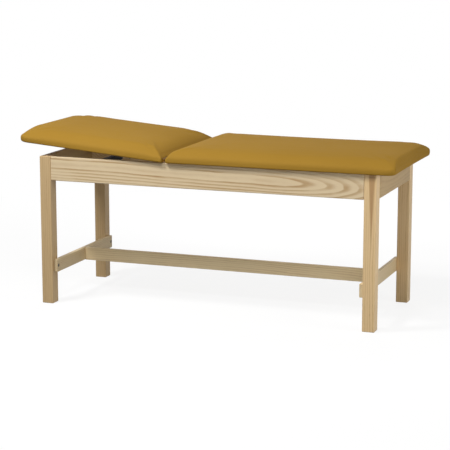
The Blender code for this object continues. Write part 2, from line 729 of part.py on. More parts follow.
def make_bail(backrest, bail):
    """The support bail: two arms on pins under the head board, joined by the bar that rides the racks."""
    stadium = arc((0, 0), BAIL_ARM_WIDTH / 2, -pi / 2, pi / 2, FINE_STEPS)
    stadium += arc((-BAIL_REACH, 0), BAIL_ARM_WIDTH / 2, pi / 2, 3 * pi / 2, FINE_STEPS)
    holes = [
        circle((0, 0), BAIL_PIN_RADIUS + CLEARANCE),
        circle((-BAIL_REACH, 0), BAIL_BAR_RADIUS + CLEARANCE),
    ]
    for side, across in SIDES.items():
        name = f"{side}_bail_arm"
        mesh = outline_mesh(name, [stadium] + holes, BAIL_ARM_THICKNESS, UPRIGHT_Y)
        arm = shade_round(add_object(name, mesh, BLACK_STEEL, bail))
        arm.location.y = across * ARM_Y
        make_pivot(side, across, backrest)
    mesh = rod_mesh("bail_bar", BAIL_BAR_RADIUS, BAR_LENGTH, UPRIGHT_Y)
    bar = shade_round(add_object("bail_bar", mesh, BLACK_STEEL, bail))
    bar.location.x = -BAIL_REACH


def make_pivot(side, across, backrest):
    """A bail arm's bracket on the underside of the head board, and its headed pin."""
    name = f"{side}_bail_bracket"
    top = BAIL_PIVOT_DROP - CLEARANCE
    half = BRACKET_LENGTH / 2
    lobe = BAIL_ARM_WIDTH / 2
    ear = [(half, top), (half, top - BRACKET_PLATE)]
    ear += arc((0, 0), lobe, 0, -pi, FINE_STEPS)
    ear += [(-half, top - BRACKET_PLATE), (-half, top)]
    hole = circle((0, 0), BAIL_PIN_RADIUS + CLEARANCE)
    mesh = outline_mesh(name, [ear, hole], BRACKET_PLATE, UPRIGHT_Y)
    bracket = add_object(name, mesh, BLACK_STEEL, backrest)
    bracket.location = BAIL_POINT + Vector((0, across * EAR_Y, 0))
    flange_middle = (0, -across * BRACKET_FLANGE / 2, top - BRACKET_PLATE / 2)
    size = (BRACKET_LENGTH, BRACKET_FLANGE, BRACKET_PLATE)
    flange = add_cutter(f"{name}_flange", box_mesh(f"{name}_flange", size, flange_middle), backrest)
    flange.location = bracket.location
    weld = bracket.modifiers.new("flange", "BOOLEAN")
    weld.operation = "UNION"
    weld.object = flange
    grip = BRACKET_PLATE + BAIL_ARM_THICKNESS + 3 * CLEARANCE
    head = BAIL_PIN_HEAD_RADIUS
    profile = [
        (0, BAIL_PIN_HEAD),
        (head, BAIL_PIN_HEAD),
        (head, 0),
        (BAIL_PIN_RADIUS, 0),
        (BAIL_PIN_RADIUS, -grip - BAIL_PIN_HEAD),
        (0, -grip - BAIL_PIN_HEAD),
    ]
    place = BAIL_POINT + Vector((0, across * (EAR_Y + BRACKET_PLATE / 2 + CLEARANCE), 0))
    turned(f"{side}_bail_pin", profile, place, (0, across, 0), BLACK_STEEL, parent=backrest)


def make_pivot_empty(name, place, tilt, parent=None):
    """An empty on a joint's axis, which carries the pieces that turn about it."""
    empty = bpy.data.objects.new(name, None)
    PARTS.objects.link(empty)
    empty.parent = parent
    empty.location = place
    empty.rotation_euler = (0, tilt, 0)
    return empty


SIDE_RAILS = {}
backrest_axis = make_pivot_empty("backrest_axis", HINGE_POINT, REST_TILT)
bail_axis = make_pivot_empty("bail_axis", BAIL_POINT, BAIL_TURN, backrest_axis)
table_legs = make_legs()
make_rails()
make_cross_rail()
make_stretchers(table_legs)
make_corner_braces(table_legs)
make_boards(backrest_axis)
make_cushions(backrest_axis)
make_hinge(backrest_axis)
make_top_brackets()
make_racks()
make_bail(backrest_axis, bail_axis)

bpy.context.view_layer.update()
print("hinge axis", [round(value, 5) for value in backrest_axis.matrix_world.translation])
print("bail axis", [round(value, 5) for value in bail_axis.matrix_world.translation])
print("bail lean at rest", round(degrees(BAIL_FLAT_ANGLE + REST_TILT), 2))
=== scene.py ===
"""Looks of a wooden examination table with a two-section top in gold vinyl.

Metres, +Z up, in the frame of the packed model: +X runs to the foot end and -Y is the front.
"""

import json
from collections import namedtuple
from math import cos, pi, radians, sin

import bmesh
import bpy
import numpy as np
from mathutils import Matrix, Vector
from mathutils.bvhtree import BVHTree


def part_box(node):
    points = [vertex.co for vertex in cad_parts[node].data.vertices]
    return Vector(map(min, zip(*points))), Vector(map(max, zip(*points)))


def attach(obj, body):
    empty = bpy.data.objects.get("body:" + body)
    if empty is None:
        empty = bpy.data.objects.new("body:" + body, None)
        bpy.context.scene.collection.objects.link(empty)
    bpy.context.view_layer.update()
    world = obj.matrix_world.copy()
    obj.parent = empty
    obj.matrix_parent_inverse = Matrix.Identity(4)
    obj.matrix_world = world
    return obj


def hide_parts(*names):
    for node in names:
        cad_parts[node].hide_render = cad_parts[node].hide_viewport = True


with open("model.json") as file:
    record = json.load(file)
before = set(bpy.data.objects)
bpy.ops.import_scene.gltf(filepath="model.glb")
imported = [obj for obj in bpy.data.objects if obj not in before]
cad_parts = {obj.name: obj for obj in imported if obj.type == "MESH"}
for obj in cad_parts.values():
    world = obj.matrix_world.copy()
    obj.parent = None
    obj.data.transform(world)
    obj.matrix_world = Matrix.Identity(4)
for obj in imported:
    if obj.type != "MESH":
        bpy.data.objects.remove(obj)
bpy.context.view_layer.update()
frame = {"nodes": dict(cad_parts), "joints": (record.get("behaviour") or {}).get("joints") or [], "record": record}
NODES = frame["nodes"]
SCENE = bpy.context.scene
AXES = {"X": 0, "Y": 1, "Z": 2}
SIDES = (("front", -1), ("back", 1))

TILT_JOINT = next(joint for joint in frame["joints"] if joint["name"] == "backrest_tilt")
HINGE_POINT = Vector(TILT_JOINT["pos_m"])
REST_TILT = -radians(min(TILT_JOINT["range_deg"]))

# Camera, fitted to the photograph's 450 pixel frame
IMAGE_PIXELS = 450
FOCAL_PIXELS = 1608.97
SENSOR_MM = 36.0
CAMERA_PLACE = (2.6345, -7.0653, 1.8258)
CAMERA_YAW = 0.3568
CAMERA_PITCH = -0.1902

# Light: the point that the lamps face, and the level of the light from all round
LIT_POINT = Vector((0, 0, 0.6))
WORLD_LEVEL = 0.10

# Floor: its grey and its glow as seen, what it throws back on the table, and where it runs out
FLOOR_SIZE = 60.0
FLOOR_GREY = 0.14
FLOOR_GLOW = 0.86
FLOOR_BOUNCE = 0.32
FLOOR_NEAR = 1.3
FLOOR_FAR = 3.2

# Cushions: the cover's mesh, and its swelling as cloth with its lower edge held
VOXEL = 0.007
RELAX_FACTOR = 0.5
RELAX_STEPS = 6
SHRINK = 0.002
HELD = "held"
HELD_HEIGHT = 0.010
CLOTH = {
    "quality": 5,
    "mass": 0.3,
    "tension_stiffness": 25,
    "compression_stiffness": 25,
    "shear_stiffness": 10,
    "bending_stiffness": 4,
    "use_pressure": True,
    "uniform_pressure_force": 4.0,
    "vertex_group_mass": HELD,
}
SWELL_FRAMES = 20
SWELL_CAP = 0.003
LEAST_MOVE = 1e-9
PAD_CREASE = radians(50)

# Cushions: the recess for the board, how it is found in the solid, and how it is cut again
RECESS_LEVEL = 0.015
FACING_DOWN = -0.9
RECESS_GAP = 0.0003
CUTTER_FLOOR = 0.0015
CUTTER_DROP = 0.01
SLIVER = 0.00005
WELD = 0.00001

# Cushions: the foam's give, at heights above the underside and distances from the edges
WIDEST_HEIGHT = 0.022
SHOULDER_HEIGHT = 0.060
RIM_ZONE = 0.030
RIM_FILL = 0.011
RIM_PROUD = 0.008
RIM_TUCK = 0.012
RIM_TUCK_HEIGHT = 0.011
CORNER_LENGTH = 0.13
CORNER_WIDTH = 0.17
WATERFALL_LENGTH = 0.17

# Screw heads: their shape as shares of radius and height, and their crossed recess
SCREW_RADIUS = 0.0045
SCREW_HEIGHT = 0.0024
SCREW_DOME = [
    (0.0, 1.0), (0.35, 0.97), (0.65, 0.85), (0.88, 0.55), (1.0, 0.2), (1.0, 0.0), (0.0, 0.0),
]
SCREW_STEPS = 24
SCREW_TURN = 1.1
SCREW_CREASE = radians(40)
CROSS_LENGTH = 0.0052
CROSS_WIDTH = 0.0011
CROSS_DEPTH = 0.0013

# Screws' places: on the angles under the main board, and on the bail's brackets
ANGLE_PLATE = 0.0025
FLANGE_SHARE = 0.62
BAIL_PLATE = 0.003
BAIL_SCREW_SPREAD = 0.014
BAIL_SCREW_INSET = 0.011

# Vinyl turned under the boards
HEM_REACH = 0.034
HEM_WAVER = 0.0015
HEM_TOP = 0.00002
HEM_BOTTOM = 0.00014
HEM_STEP = 0.012
HEM_SEED = 7


def srgb(red, green, blue):
    """A colour given as it looks on screen, in eight-bit steps, as the shader wants it."""
    shares = [value / 255 for value in (red, green, blue)]
    return tuple(s / 12.92 if s <= 0.04045 else ((s + 0.055) / 1.055) ** 2.4 for s in shares)


# Wood tones: between the rings, in the rings, and how strongly the rings show
PALE_TONE = (srgb(226, 205, 168), srgb(176, 136, 86), 0.80)
# Legs: the head end's legs are toned darker and the foot end's lighter, painted shade and painted light for how
# the light falls at each end
LEG_TONES_WITH_PAINTED_LIGHT = {
    "head": (srgb(206, 177, 132), srgb(174, 138, 92), 0.45),
    "foot": (srgb(234, 203, 154), srgb(198, 158, 106), 0.45),
}
# End rails: a darker, yellower tone than the side rails, painted shade for the shadow under the pads' overhang at
# the ends
END_RAIL_PAINTED_SHADE_TONE = (srgb(180, 150, 98), srgb(150, 115, 66), 0.50)
# Stretchers: the centre one is toned lighter, painted light in place of the light that the top's shadow takes from
# it; the head and foot ones differ by the light at each end
BRACE_TONES_WITH_PAINTED_LIGHT = {
    "head": (srgb(216, 195, 155), srgb(178, 146, 101), 0.50),
    "foot": (srgb(230, 208, 166), srgb(190, 156, 108), 0.50),
    "centre": (srgb(244, 222, 178), srgb(203, 168, 117), 0.50),
}
HIDDEN_TONE = (srgb(206, 178, 132), srgb(166, 126, 78), 0.60)
PORE_TONE = srgb(124, 88, 52)
HEART_TONE = srgb(162, 118, 72)

# Noise in the wood: cells in a metre along the grain and across it
DRIFT_GRAIN = (1.9, 6.0)
WAVER_GRAIN = (11.0, 40.0)
FADE_GRAIN = (4.0, 26.0)
PORE_GRAIN = (38.0, 900.0)
FIBRE_GRAIN = (5.0, 330.0)
CLOUD_GRAIN = (2.3, 16.0)
SEED_STEP = 7.31
FADE_SHIFT = 5.0
CLOUD_SHIFT = 3.0
NOISE_MIDDLE = 0.5

# How strongly the noises show, and the share of a noise where pores and fading begin and end
PORE_RANGE = (0.56, 0.72)
PORE_STRENGTH = 0.3
FADE_RANGE = (0.32, 0.62)
CLOUD_SWING = 0.5
FIBRE_SWING = 0.22
FIBRE_HEIGHT = 0.35

# Growth rings: how far they wander, and where in a year the porous wood opens and fades
RING_DRIFT = 0.022
RING_WAVER = 0.0045
POROUS_START = (0.0, 0.16)
POROUS_END = (0.22, 0.75)

# Plywood: its veneer, the height of two plies, and where in that height the dark ply shows
VENEER_TONES = (srgb(222, 196, 152), srgb(178, 138, 92))
VENEER_GRAIN = (3.0, 60.0, 200.0)
VENEER_FIGURE = {"Scale": 9.0, "Distortion": 9.0, "Detail": 2.0}
PLY_TONE = srgb(132, 92, 56)
PLY_PAIR = 0.0054
PLY_START = (0.42, 0.5)
PLY_END = (0.92, 1.0)
PLY_STRENGTH = 0.45

# Vinyl: the cells in a metre of its pebbles, its fine grain and its clouds
VINYL_TONES = (srgb(154, 117, 43), srgb(170, 132, 53))
PEBBLE_CELLS = 620.0
PEBBLE_EDGE = (0.0, 0.12)
VINYL_GRAIN = 900.0
VINYL_CLOUD = 3.5

# Steels: two colours, a roughness, a metallic value and the axis of the drawn grain
STEELS = {
    "black_steel": (srgb(30, 30, 32), srgb(48, 48, 50), 0.32, 0.0, "X"),
    "zinc_steel": (srgb(176, 178, 182), srgb(204, 206, 208), 0.26, 1.0, "Y"),
    # the hinge's zinc, darkened well below bright zinc as painted shade for the gap where the pads meet
    "dull_zinc_steel": (srgb(96, 94, 90), srgb(122, 120, 116), 0.42, 1.0, "Y"),
}
STEEL_STREAK = (25.0, 600.0)
STEEL_BLOT = 140.0
# The hinge leaves and pin get the darkened zinc, painted shade in the pads' junction
SHADE_DARKENED_NODES = ("main_hinge_leaf", "head_hinge_leaf", "hinge_pin")

Cut = namedtuple(
    "Cut", "off depth peak falls lean ring", defaults=(0.0, (0.02, 0.02), 0.0, 0.0095)
)
Cut.__doc__ = """How a timber lies in its log, whose pith is off across the width and at a depth.

Along the length the pith is nearest at the peak, falls away by a rate each side of it, and leans
across. The last value is a ring's width.
"""
FRONT_RAIL_CUT = Cut(
    off=0.010, depth=0.0083, peak=0.30, falls=(0.0, 0.24), lean=-0.020, ring=0.013
)
BACK_RAIL_CUT = Cut(off=0.012, depth=-0.024, peak=-0.3, falls=(-0.12, -0.05), lean=0.01)
END_RAIL_CUT = Cut(off=0.03, depth=-0.05, falls=(-0.1, -0.1), ring=0.011)
STRETCHER_CUT = Cut(off=0.07, depth=0.03, falls=(0.1, 0.1), ring=0.008)
LEG_CUT = Cut(off=0.075, depth=0.06, falls=(0.03, 0.03), ring=0.007)
CORNER_BRACE_CUT = Cut(off=0.05, depth=0.04)
DOWEL_CUT = Cut(off=0.02, depth=0.02)
CENTRE_CUT = Cut(off=-0.06, depth=0.02, falls=(0.03, 0.05), ring=0.009)
CROSS_RAIL_CUT = Cut(off=0.0, depth=-0.03, falls=(-0.2, -0.2))
RACK_CUT = Cut(off=0.04, depth=0.05)

Heart = namedtuple("Heart", "tip root radius centre depth")
LEG_HEART = Heart(tip=0.0, root=0.36, radius=0.016, centre=0.007, depth=-0.0285)
HEART_FLATTENING = 0.35
HEART_FRAY = 0.004
HEART_EDGE = (-0.003, 0.006)
HEART_STRENGTH = 0.7


class Graph:
    """A material's nodes, with short calls for the ones used here.

    Arguments are sockets or plain values.
    """

    def __init__(self, name):
        self.material = bpy.data.materials.new(name)
        self.material.use_nodes = True
        self.tree = self.material.node_tree
        self.shader = self.tree.nodes["Principled BSDF"]

    def node(self, kind, **settings):
        made = self.tree.nodes.new("ShaderNode" + kind)
        for key, value in settings.items():
            setattr(made, key, value)
        return made

    def put(self, socket, value):
        if isinstance(value, bpy.types.NodeSocket):
            self.tree.links.new(value, socket)
        else:
            socket.default_value = value

    def fill(self, made, *values):
        """Put values in a node's inputs, in order, and give its first output."""
        for socket, value in zip(made.inputs, values):
            self.put(socket, value)
        return made.outputs[0]

    def math(self, operation, *values, clamp=False):
        return self.fill(self.node("Math", operation=operation, use_clamp=clamp), *values)

    def times(self, value, factor):
        return self.math("MULTIPLY", value, factor)

    def line(self, value, slope, start):
        return self.math("MULTIPLY_ADD", value, slope, start)

    def vector(self, operation, *values):
        return self.fill(self.node("VectorMath", operation=operation), *values)

    def join(self, x, y, z):
        return self.fill(self.node("CombineXYZ"), x, y, z)

    def split(self, vector):
        made = self.node("SeparateXYZ")
        self.put(made.inputs[0], vector)
        return made.outputs

    def noise(self, vector, scale, detail=2.0, roughness=0.5):
        made = self.node("TexNoise")
        self.put(made.inputs["Vector"], vector)
        made.inputs["Scale"].default_value = scale
        made.inputs["Detail"].default_value = detail
        made.inputs["Roughness"].default_value = roughness
        return made.outputs["Fac"]

    def remap(self, value, low, high, to_low=0.0, to_high=1.0):
        made = self.node("MapRange", interpolation_type="SMOOTHSTEP")
        return self.fill(made, value, low, high, to_low, to_high)

    def mix(self, share, first, second):
        made = self.node("Mix", data_type="RGBA")
        self.put(made.inputs["Factor"], share)
        for name, value in (("A", first), ("B", second)):
            socket = next(s for s in made.inputs if s.name == name and s.type == "RGBA")
            self.put(socket, (*value, 1.0) if isinstance(value, tuple) else value)
        return next(s for s in made.outputs if s.type == "RGBA")

    def bump(self, height, strength, distance):
        made = self.node("Bump")
        made.inputs["Strength"].default_value = strength
        made.inputs["Distance"].default_value = distance
        self.put(made.inputs["Height"], height)
        self.put(self.shader.inputs["Normal"], made.outputs[0])

    def place(self):
        """The piece's own coordinates, which ride with it."""
        return self.node("TexCoord").outputs["Object"]

    def finish(self, colour, roughness, **constants):
        self.put(self.shader.inputs["Base Color"], colour)
        self.put(self.shader.inputs["Roughness"], roughness)
        for name, value in constants.items():
            self.shader.inputs[name.replace("_", " ")].default_value = value
        return self.material


def grain_noise(graph, parts, grain, shift, detail=2.0, roughness=0.5):
    """Noise drawn out along a timber's grain."""
    along, across, deep = parts
    lengthways, crossways = grain
    place = graph.join(
        graph.line(along, lengthways, shift),
        graph.times(across, crossways),
        graph.times(deep, crossways),
    )
    return graph.noise(place, 1.0, detail, roughness)


def swing(graph, noise, amount):
    """Noise as a swing about zero."""
    return graph.times(graph.math("SUBTRACT", noise, NOISE_MIDDLE), amount)


def growth_rings(graph, parts, cut, shift):
    """Porous earlywood rings round the pith: each opens sharply and fades into its latewood."""
    along, across, deep = parts
    drift = swing(graph, grain_noise(graph, parts, DRIFT_GRAIN, shift), RING_DRIFT)
    waver = swing(graph, grain_noise(graph, parts, WAVER_GRAIN, shift), RING_WAVER)
    side = graph.math("SUBTRACT", along, cut.peak)
    fall = 0.0
    for way, rate in zip(("MINIMUM", "MAXIMUM"), cut.falls):
        reach = graph.math(way, side, 0.0)
        fall = graph.math("ADD", fall, graph.times(graph.times(reach, reach), rate))
    centre = graph.line(along, cut.lean, cut.off)
    off = graph.math("ADD", graph.math("SUBTRACT", across, centre), drift)
    depth = graph.math("SUBTRACT", graph.math("SUBTRACT", deep, cut.depth), fall)
    square = graph.math("ADD", graph.times(off, off), graph.times(depth, depth))
    radius = graph.math("ADD", graph.math("SQRT", square), waver)
    rings = graph.math("DIVIDE", radius, cut.ring)
    phase = graph.math("FRACT", rings)
    year = graph.node("TexWhiteNoise", noise_dimensions="1D")
    graph.put(year.inputs["W"], graph.math("ADD", graph.math("FLOOR", rings), shift))
    opening = graph.remap(phase, *POROUS_START)
    band = graph.times(opening, graph.remap(phase, *POROUS_END, to_low=1.0, to_high=0.0))
    fade = grain_noise(graph, parts, FADE_GRAIN, shift + FADE_SHIFT)
    band = graph.times(band, graph.remap(fade, *FADE_RANGE, to_low=0.35))
    return graph.times(band, graph.line(year.outputs["Value"], slope=0.5, start=0.5))


def wood_material(node, axes, tone, cut, seed, heart=None):
    """Ash cut from a log, with rings, pores and fibres.

    The axes give the timber's length, its width and its depth.
    """
    graph = Graph(node + "_wood")
    low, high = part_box(node)
    split = graph.split(graph.vector("SUBTRACT", graph.place(), tuple((low + high) / 2)))
    parts = [split[AXES[axis]] for axis in axes]
    pale, dark, contrast = tone
    shift = seed * SEED_STEP
    band = growth_rings(graph, parts, cut, shift)
    pores = grain_noise(graph, parts, PORE_GRAIN, shift, detail=1.0)
    pores = graph.remap(pores, *PORE_RANGE)
    pores = graph.times(pores, graph.line(band, slope=0.8, start=0.15))
    fibre = grain_noise(graph, parts, FIBRE_GRAIN, shift, detail=3.0, roughness=0.6)
    cloud = grain_noise(graph, parts, CLOUD_GRAIN, shift + CLOUD_SHIFT)
    share = graph.times(band, contrast)
    share = graph.math("ADD", share, swing(graph, cloud, CLOUD_SWING))
    share = graph.math("ADD", share, swing(graph, fibre, FIBRE_SWING), clamp=True)
    colour = graph.mix(share, pale, dark)
    colour = graph.mix(graph.times(pores, PORE_STRENGTH), colour, PORE_TONE)
    if heart:
        colour = heart_streak(graph, colour, parts, fibre, heart)
    sunk = graph.math("ADD", pores, band)
    height = graph.math("SUBTRACT", graph.times(fibre, FIBRE_HEIGHT), sunk)
    graph.bump(height, strength=0.2, distance=0.0003)
    rough = graph.line(fibre, slope=0.10, start=0.42)
    rough = graph.line(pores, slope=0.2, start=rough)
    return graph.finish(colour, rough, Specular_IOR_Level=0.3)


def heart_streak(graph, colour, parts, fibre, heart):
    """Brown heartwood inside a tapering cone that runs in from one end of a timber."""
    along, across, deep = parts
    taper = heart.radius / (heart.root - heart.tip)
    reach = graph.times(graph.math("SUBTRACT", along, heart.tip), taper)
    off = graph.math("SUBTRACT", across, heart.centre)
    behind = graph.times(graph.math("SUBTRACT", deep, heart.depth), HEART_FLATTENING)
    square = graph.math("ADD", graph.times(off, off), graph.times(behind, behind))
    inside = graph.math("SUBTRACT", reach, graph.math("SQRT", square))
    inside = graph.math("ADD", inside, swing(graph, fibre, HEART_FRAY))
    share = graph.times(graph.remap(inside, *HEART_EDGE), HEART_STRENGTH)
    return graph.mix(share, colour, HEART_TONE)


def plywood_material(node, tilt):
    """Plywood: plain face veneer, and plies that show as stripes on the edges."""
    graph = Graph(node + "_plywood")
    turn = graph.node("VectorRotate", rotation_type="Y_AXIS")
    graph.put(turn.inputs["Vector"], graph.place())
    turn.inputs["Center"].default_value = HINGE_POINT
    turn.inputs["Angle"].default_value = -tilt
    x, y, z = graph.split(turn.outputs[0])
    ply = graph.math("FRACT", graph.times(z, 1 / PLY_PAIR))
    stripe = graph.remap(ply, *PLY_START)
    stripe = graph.times(stripe, graph.remap(ply, *PLY_END, to_low=1.0, to_high=0.0))
    place = graph.join(*(graph.times(part, cells) for part, cells in zip((x, y, z), VENEER_GRAIN)))
    veneer = graph.noise(place, 1.0, detail=4.0, roughness=0.6)
    rings = graph.node("TexWave", wave_type="BANDS", bands_direction="Y")
    graph.put(rings.inputs["Vector"], graph.join(graph.times(x, 0.25), y, graph.times(z, 0.2)))
    for name, value in VENEER_FIGURE.items():
        rings.inputs[name].default_value = value
    share = graph.line(rings.outputs["Fac"], slope=0.25, start=graph.times(veneer, 0.5))
    colour = graph.mix(share, *VENEER_TONES)
    colour = graph.mix(graph.times(stripe, PLY_STRENGTH), colour, PLY_TONE)
    graph.bump(veneer, strength=0.15, distance=0.0004)
    return graph.finish(colour, graph.line(veneer, slope=0.15, start=0.55))


def vinyl_material():
    """Upholstery vinyl: a fine pebbled grain, a satin face and a little change of tone."""
    graph = Graph("gold_vinyl")
    place = graph.place()
    cells = graph.node("TexVoronoi", feature="DISTANCE_TO_EDGE")
    graph.put(cells.inputs["Vector"], place)
    cells.inputs["Scale"].default_value = PEBBLE_CELLS
    creases = graph.remap(cells.outputs["Distance"], *PEBBLE_EDGE)
    grain = graph.noise(place, VINYL_GRAIN)
    cloud = graph.noise(place, VINYL_CLOUD)
    tone = graph.line(cloud, slope=0.5, start=graph.times(grain, 0.25))
    colour = graph.mix(tone, *VINYL_TONES)
    height = graph.line(grain, slope=0.4, start=graph.times(creases, 0.6))
    graph.bump(height, strength=0.22, distance=0.0003)
    rough = graph.line(grain, slope=0.08, start=0.66)
    rough = graph.line(creases, slope=-0.06, start=rough)
    return graph.finish(colour, rough, Specular_IOR_Level=0.04)


def steel_material(name, base, other, roughness, metallic, along):
    """Steel with a fine drawn grain along one axis and small changes of gloss."""
    graph = Graph(name)
    lengthways, crossways = STEEL_STREAK
    stretch = [crossways] * 3
    stretch[AXES[along]] = lengthways
    streak = graph.noise(graph.vector("MULTIPLY", graph.place(), tuple(stretch)), 1.0)
    blot = graph.noise(graph.place(), STEEL_BLOT, detail=3.0)
    share = graph.line(streak, slope=0.6, start=graph.times(blot, 0.4))
    graph.bump(streak, strength=0.08, distance=0.0002)
    rough = graph.line(streak, slope=0.12, start=roughness)
    rough = graph.line(blot, slope=0.18, start=rough)
    return graph.finish(graph.mix(share, base, other), rough, Metallic=metallic)


def dress(node, material):
    """Give a node of the frame its material."""
    mesh = NODES[node].data
    mesh.materials.clear()
    mesh.materials.append(material)


def dress_timber(node, axes, tone, cut, seed, heart=None):
    """Give a timber wood of its own."""
    dress(node, wood_material(node, axes, tone, cut, seed, heart))


def dress_timbers():
    """Each timber gets grain of its own that runs along it."""
    dress_timber("front_side_rail", "XZY", PALE_TONE, FRONT_RAIL_CUT, 1)
    dress_timber("back_side_rail", "XZY", PALE_TONE, BACK_RAIL_CUT, 2)
    seed = 3
    for end in ("head", "foot"):
        # the end rails' tone is painted shade
        dress_timber(f"{end}_end_rail", "YZX", END_RAIL_PAINTED_SHADE_TONE, END_RAIL_CUT, seed)
        # the stretchers' tones carry painted light for their places
        dress_timber(f"{end}_stretcher", "YZX", BRACE_TONES_WITH_PAINTED_LIGHT[end], STRETCHER_CUT, seed + 1)
        for side in ("front", "back"):
            leg = f"{end}_{side}_leg"
            heart = LEG_HEART if leg == "foot_front_leg" else None
            # the legs' tones carry painted light and shade for their ends
            dress_timber(leg, "ZXY", LEG_TONES_WITH_PAINTED_LIGHT[end], LEG_CUT, seed + 2, heart)
            block = f"{end}_{side}_corner_brace"
            dress_timber(block, "YZX", HIDDEN_TONE, CORNER_BRACE_CUT, seed + 3)
            seed += 4
        for level in ("lower", "upper"):
            dress_timber(f"{end}_{level}_dowel", "XZY", HIDDEN_TONE, DOWEL_CUT, seed)
    # the centre stretcher's lighter tone is painted light
    dress_timber("centre_stretcher", "XZY", BRACE_TONES_WITH_PAINTED_LIGHT["centre"], CENTRE_CUT, 31)
    dress_timber("hinge_cross_rail", "YZX", HIDDEN_TONE, CROSS_RAIL_CUT, 32)
    for seed, side in enumerate(("front", "back"), start=33):
        dress_timber(f"{side}_rack", "XZY", HIDDEN_TONE, RACK_CUT, seed)


def dress_fittings():
    """Boards, hinge, brackets, bail and fasteners. Gives the steels by name."""
    dress("main_board", plywood_material("main_board", 0.0))
    dress("head_board", plywood_material("head_board", REST_TILT))
    steels = {name: steel_material(name, *look) for name, look in STEELS.items()}
    for row in frame["record"]["subparts"]:
        if row["material_slot"] in steels:
            dress(row["node"], steels[row["material_slot"]])
    # the hinge leaves and pin are darkened as painted shade in the gap between the pads
    for node in SHADE_DARKENED_NODES:
        dress(node, steels["dull_zinc_steel"])
    return steels


def linked(name, data):
    """A new object in the scene."""
    made = bpy.data.objects.new(name, data)
    SCENE.collection.objects.link(made)
    return made


def mesh_of(name, solid):
    """A new mesh from a bmesh, which it uses up."""
    mesh = bpy.data.meshes.new(name)
    solid.to_mesh(mesh)
    solid.free()
    return mesh


def mesh_points(mesh):
    """A mesh's points as rows of numbers."""
    points = np.empty(len(mesh.vertices) * 3, np.float32)
    mesh.vertices.foreach_get("co", points)
    return points.reshape(-1, 3).astype(float)


def set_points(mesh, points):
    """Move a mesh's points to new places."""
    mesh.vertices.foreach_set("co", points.astype(np.float32).ravel())
    mesh.update()


def evaluated_mesh(piece):
    """The piece's mesh with its modifiers, as a mesh of its own."""
    graph = bpy.context.evaluated_depsgraph_get()
    return bpy.data.meshes.new_from_object(piece.evaluated_get(graph))


def settle(piece):
    """Put the modifiers' result in the piece's own mesh."""
    mesh = evaluated_mesh(piece)
    piece.modifiers.clear()
    piece.data = mesh


def cut_by(piece, tool):
    """Take another object's space out of a piece, once its modifiers are settled."""
    recess = piece.modifiers.new("recess", "BOOLEAN")
    recess.operation = "DIFFERENCE"
    recess.object = tool


def surface_tree(mesh):
    """A mesh's faces, ready for the nearest place on them."""
    corners = [list(face.vertices) for face in mesh.polygons]
    return BVHTree.FromPolygons([v.co for v in mesh.vertices], corners)


def turned_flat(tilt):
    """The turn that lays the backrest's pieces flat."""
    to_hinge = Matrix.Translation(HINGE_POINT)
    return to_hinge @ Matrix.Rotation(-tilt, 4, "Y") @ Matrix.Translation(-HINGE_POINT)


def min_max(points, axis):
    """The least and the greatest of some points' coordinates along an axis."""
    values = [point[axis] for point in points]
    return min(values), max(values)


def smooth(share, low, high):
    """A soft step from 0 at low to 1 at high."""
    t = np.clip((share - low) / (high - low), 0, 1)
    return t * t * (3 - 2 * t)


def tucked(height, top):
    """How far in a quarter round draws a side below its top, from 0 there to 1 at the bottom."""
    drop = np.clip(1 - height / top, 0, 1)
    return 1 - np.sqrt(1 - drop**2)


def flat_solid(node, untilt):
    """A node's mesh, laid flat, and a welded bmesh of it."""
    mesh = NODES[node].data.copy()
    mesh.transform(untilt)
    solid = bmesh.new()
    solid.from_mesh(mesh)
    bmesh.ops.remove_doubles(solid, verts=solid.verts, dist=WELD)
    return mesh, solid


def pad_solid(node, untilt):
    """A cushion's solid without the recess for its board, laid flat."""
    mesh, solid = flat_solid(node, untilt)
    level = min(point.co.z for point in solid.verts) + RECESS_LEVEL
    inner = set()
    for face in solid.faces:
        if face.normal.z < FACING_DOWN and face.calc_center_median().z > level:
            inner.update(face.verts)
    bmesh.ops.delete(solid, geom=list(inner), context="VERTS")
    rim = [edge for edge in solid.edges if edge.is_boundary]
    bmesh.ops.holes_fill(solid, edges=rim, sides=0)
    bmesh.ops.recalc_face_normals(solid, faces=solid.faces)
    solid.to_mesh(mesh)
    solid.free()
    return mesh


def ease_pad(points, corner_drop, waterfall):
    """Foam's give, on a pad that lies flat.

    The sides stand proud above a lower rim that rolls under, and the top is lower at the outer
    corners and at the hinge end.
    """
    height = points[:, 2] - points[:, 2].min()
    half = np.abs(points[:, 1]).max()
    inset = half - np.abs(points[:, 1])
    reach = np.abs(points[:, 0] - HINGE_POINT.x)
    end_gap = reach.max() - reach
    high = smooth(height, WIDEST_HEIGHT, SHOULDER_HEIGHT)
    rim = RIM_FILL * tucked(height, WIDEST_HEIGHT) - RIM_TUCK * tucked(height, RIM_TUCK_HEIGHT)
    rim += RIM_PROUD * (1 - high)
    rim *= 1 - smooth(inset, 0.5 * RIM_ZONE, RIM_ZONE)
    eased = points.copy()
    eased[:, 1] += np.sign(points[:, 1]) * rim * smooth(end_gap, 0, 2 * RIM_ZONE)
    corner = (1 - smooth(end_gap, 0, CORNER_LENGTH)) * (1 - smooth(inset, 0, CORNER_WIDTH))
    fall = np.clip(1 - reach / WATERFALL_LENGTH, 0, 1) ** 2
    eased[:, 2] -= high * (corner_drop * corner + waterfall * fall)
    return eased


